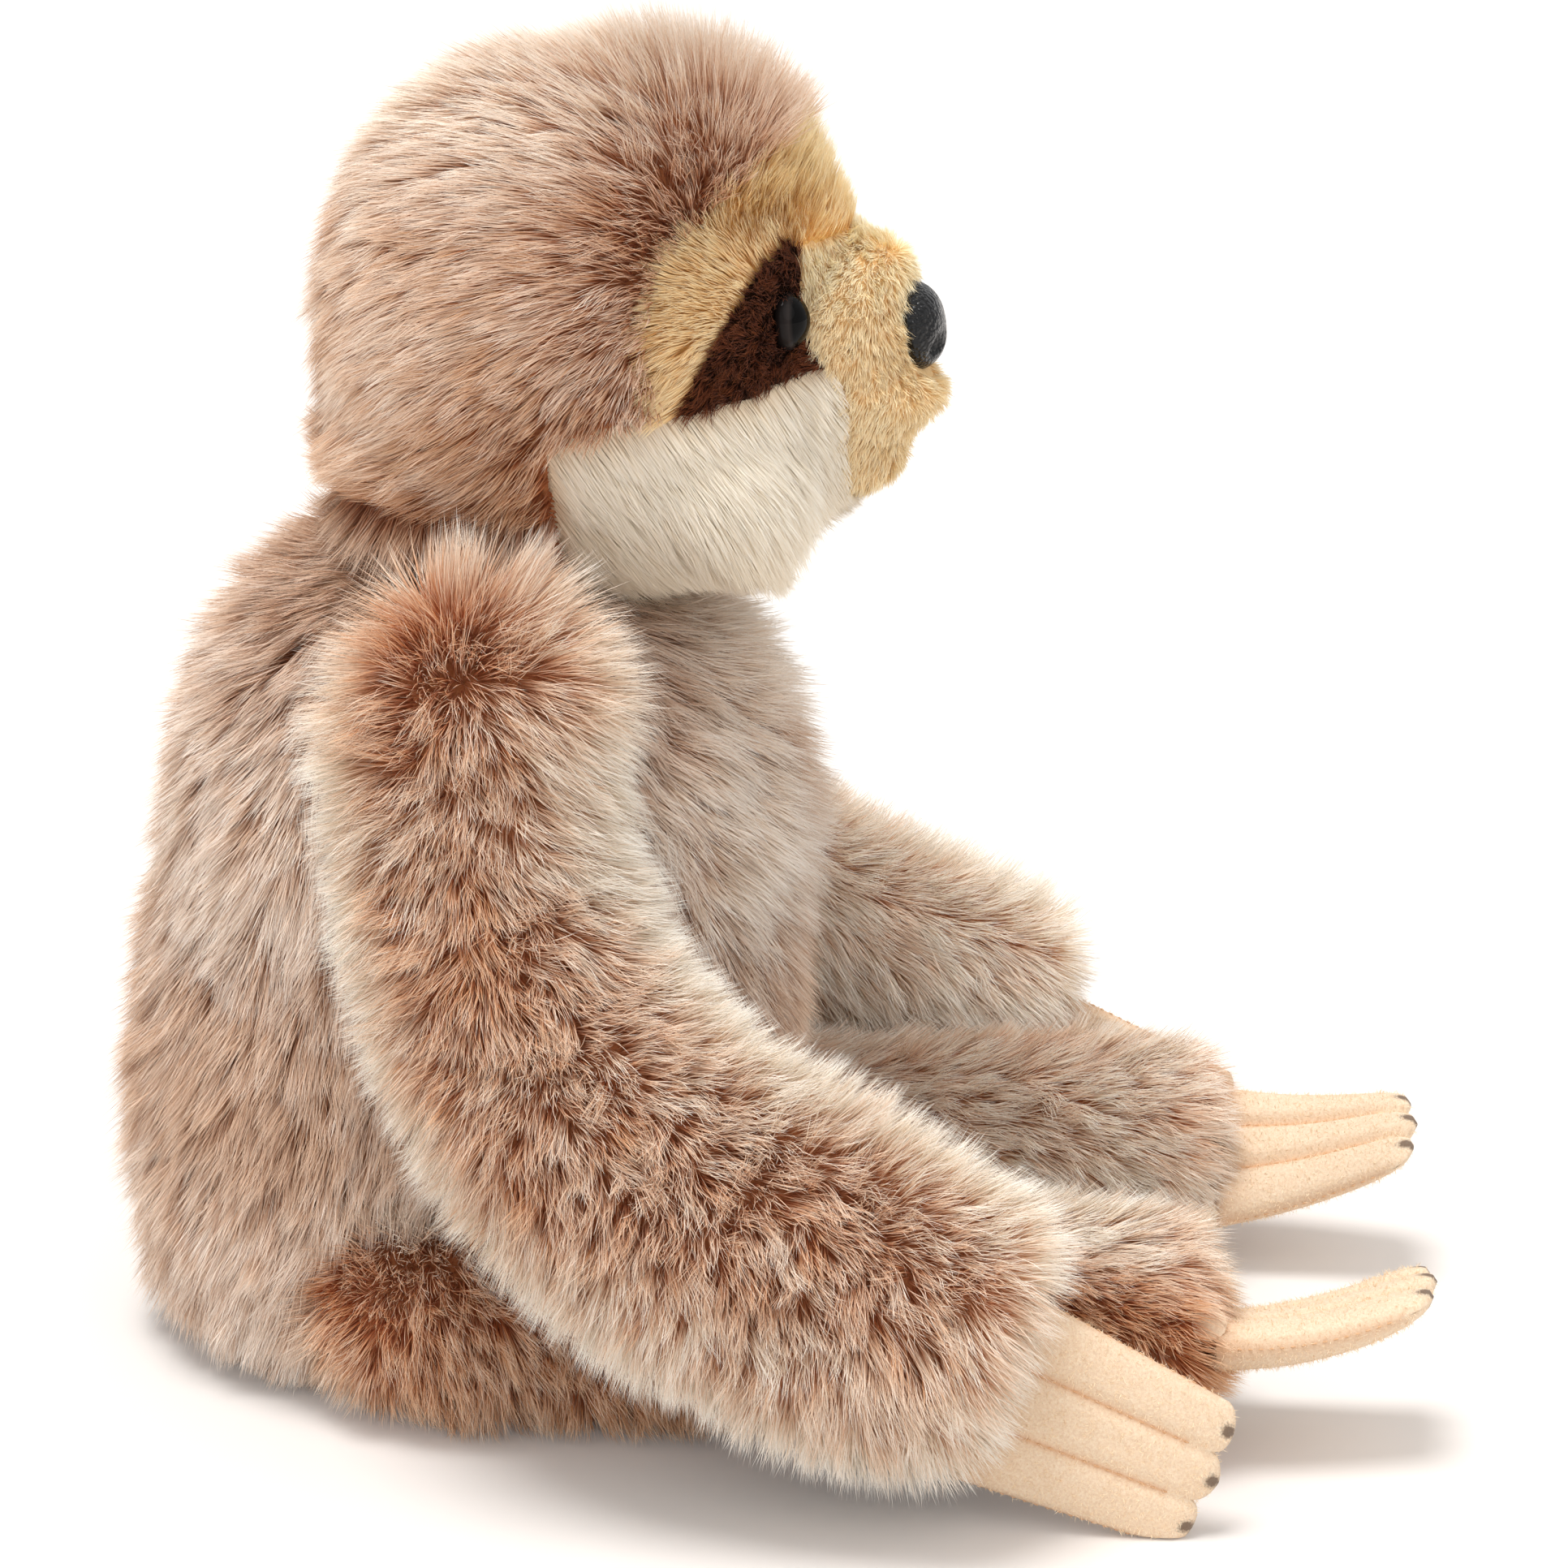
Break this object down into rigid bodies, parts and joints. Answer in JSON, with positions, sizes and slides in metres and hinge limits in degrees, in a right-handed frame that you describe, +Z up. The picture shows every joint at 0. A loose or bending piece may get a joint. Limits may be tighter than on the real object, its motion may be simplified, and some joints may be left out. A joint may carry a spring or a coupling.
{
  "type": "plush sloth",
  "caption": "Seated plush sloth: stuffed torso, head that turns and nods, long swinging arms and legs, and flexing felt claws.",
  "frame": {"origin": "on the floor, under the middle of the toy's box", "axes": "+Z up, the toy faces -Y and its left side is +X"},
  "size_m": [0.1854, 0.2304, 0.232],
  "materials": {
    "long_plush": "long pile with brown roots and pale tips",
    "tan_plush": "short pile",
    "beige_plush": "short pile",
    "white_plush": "combed pile",
    "dark_plush": "short pile",
    "felt": "felt with sewn channels and dark painted tips",
    "seam_tape": "woven tape",
    "stuffing": "fibre fill",
    "eye_plastic": "polished",
    "nose_leather": "grained satin",
    "washer_plastic": "moulded"
  },
  "bodies": {
    "torso": {"torso_cover": "long_plush", "torso_stuffing": "stuffing"},
    "neck": {"neck_seam_band": "seam_tape"},
    "head": {"hood_cover": "long_plush", "face_band": "tan_plush", "jowl_panel": "white_plush", "muzzle_cover": "beige_plush", "head_stuffing": "stuffing", "nose": "nose_leather", "nose_washer": "washer_plastic", "eye_patch_left": "dark_plush", "eye_patch_right": "dark_plush", "eye_left": "eye_plastic", "eye_right": "eye_plastic", "eye_washer_left": "washer_plastic", "eye_washer_right": "washer_plastic"},
    "shoulder_left": {"shoulder_seam_left": "seam_tape"},
    "arm_left": {"arm_cover_left": "long_plush", "arm_stuffing_left": "stuffing"},
    "hand_left": {"hand_claw_seam_left": "seam_tape", "hand_claws_top_left": "felt", "hand_claws_bottom_left": "felt"},
    "leg_left": {"leg_cover_left": "long_plush", "leg_stuffing_left": "stuffing", "hip_seam_left": "seam_tape"},
    "foot_left": {"foot_claw_seam_left": "seam_tape", "foot_claws_top_left": "felt", "foot_claws_bottom_left": "felt"},
    "shoulder_right": {"shoulder_seam_right": "seam_tape"},
    "arm_right": {"arm_cover_right": "long_plush", "arm_stuffing_right": "stuffing"},
    "hand_right": {"hand_claw_seam_right": "seam_tape", "hand_claws_top_right": "felt", "hand_claws_bottom_right": "felt"},
    "leg_right": {"leg_cover_right": "long_plush", "leg_stuffing_right": "stuffing", "hip_seam_right": "seam_tape"},
    "foot_right": {"foot_claw_seam_right": "seam_tape", "foot_claws_top_right": "felt", "foot_claws_bottom_right": "felt"}
  },
  "joints": [
    {"name": "head_turn", "type": "hinge", "parent": "torso", "child": "neck", "pos_m": [0, 0.05424, 0.1], "axis": [0, 0, 1], "range_deg": [-25, 25]},
    {"name": "head_nod", "type": "hinge", "parent": "neck", "child": "head", "pos_m": [0, 0.05424, 0.1], "axis": [1, 0, 0], "range_deg": [-12, 10]},
    {"name": "arm_swing_left", "type": "hinge", "parent": "torso", "child": "shoulder_left", "pos_m": [0.0455, 0.04524, 0.115], "axis": [-0.989, 0, -0.1478], "range_deg": [-35, 50]},
    {"name": "arm_lift_left", "type": "hinge", "parent": "shoulder_left", "child": "arm_left", "pos_m": [0.0404, 0.04524, 0.15114], "axis": [0, -1, 0], "range_deg": [0, 25]},
    {"name": "hand_claws_flex_left", "type": "hinge", "parent": "arm_left", "child": "hand_left", "pos_m": [0.07873, -0.0426, 0.02461], "axis": [-0.1376, -0.3657, 0.9205], "range_deg": [-15, 30]},
    {"name": "leg_swing_left", "type": "hinge", "parent": "torso", "child": "leg_left", "pos_m": [0.024, 0.05624, 0.0208], "axis": [-1, 0, 0], "range_deg": [-45, 10]},
    {"name": "foot_claws_flex_left", "type": "hinge", "parent": "leg_left", "child": "foot_left", "pos_m": [0.0435, -0.0793, 0.01886], "axis": [-0.829, -0.0101, -0.5591], "range_deg": [-20, 25]},
    {"name": "arm_swing_right", "type": "hinge", "parent": "torso", "child": "shoulder_right", "pos_m": [-0.0455, 0.04524, 0.115], "axis": [-0.989, 0, 0.1478], "range_deg": [-35, 50]},
    {"name": "arm_lift_right", "type": "hinge", "parent": "shoulder_right", "child": "arm_right", "pos_m": [-0.0404, 0.04524, 0.15114], "axis": [0, 1, 0], "range_deg": [0, 25]},
    {"name": "hand_claws_flex_right", "type": "hinge", "parent": "arm_right", "child": "hand_right", "pos_m": [-0.07873, -0.0426, 0.02461], "axis": [-0.1376, 0.3657, -0.9205], "range_deg": [-15, 30]},
    {"name": "leg_swing_right", "type": "hinge", "parent": "torso", "child": "leg_right", "pos_m": [-0.024, 0.05624, 0.0208], "axis": [-1, 0, 0], "range_deg": [-45, 10]},
    {"name": "foot_claws_flex_right", "type": "hinge", "parent": "leg_right", "child": "foot_right", "pos_m": [-0.0435, -0.0793, 0.01886], "axis": [-0.829, 0.0101, 0.5591], "range_deg": [-20, 25]}
  ]
}
